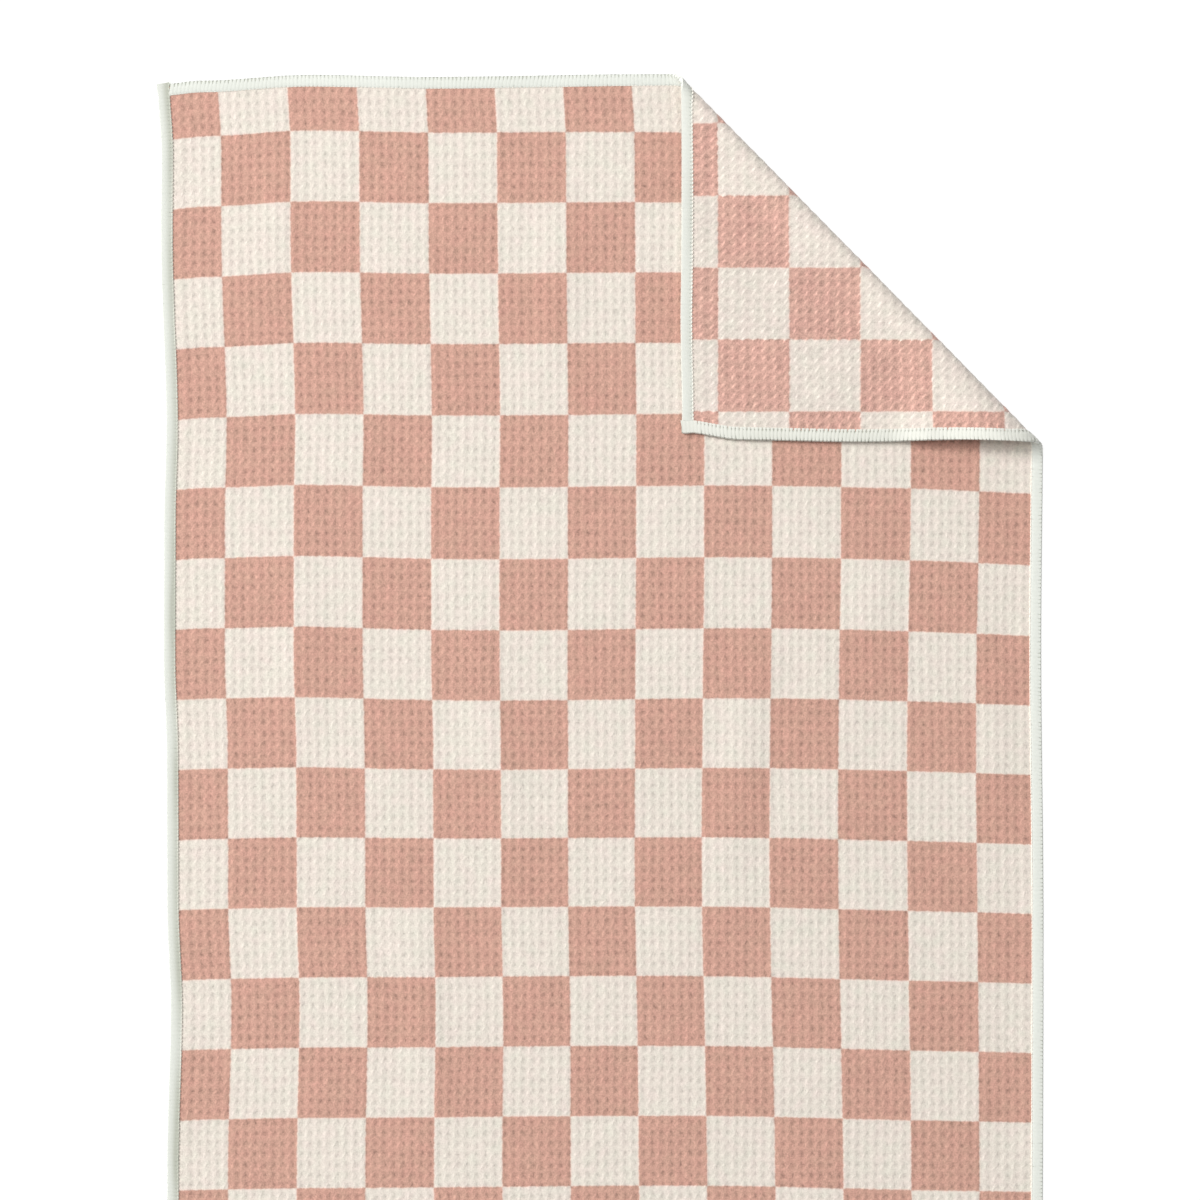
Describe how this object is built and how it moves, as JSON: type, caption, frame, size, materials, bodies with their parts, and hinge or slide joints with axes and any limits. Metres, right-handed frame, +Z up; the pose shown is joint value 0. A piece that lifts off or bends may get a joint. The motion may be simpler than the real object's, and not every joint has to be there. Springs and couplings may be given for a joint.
{
  "type": "hand towel",
  "caption": "Rectangular waffle hand towel lying flat with one corner folded forward over its front, and overlocked edges.",
  "frame": {"origin": "middle of the towel's outline as it lies, on the surface under it", "axes": "+X to the towel's right as the front is read, +Y along its length towards the folded corner's end, +Z up, out of the front face"},
  "size_m": [0.462, 0.764, 0.0168],
  "materials": {
    "waffle_cloth": "matt waffle-woven microfibre, printed with a two-colour checkerboard of blush pink and cream on both faces",
    "overlock_thread": "soft textured polyester thread in very pale mint white, sewn as a dense overlock"
  },
  "bodies": {
    "root": {"cloth": "waffle_cloth", "overlock_top": "overlock_thread", "overlock_right": "overlock_thread", "overlock_bottom": "overlock_thread", "overlock_left": "overlock_thread"}
  },
  "joints": []
}
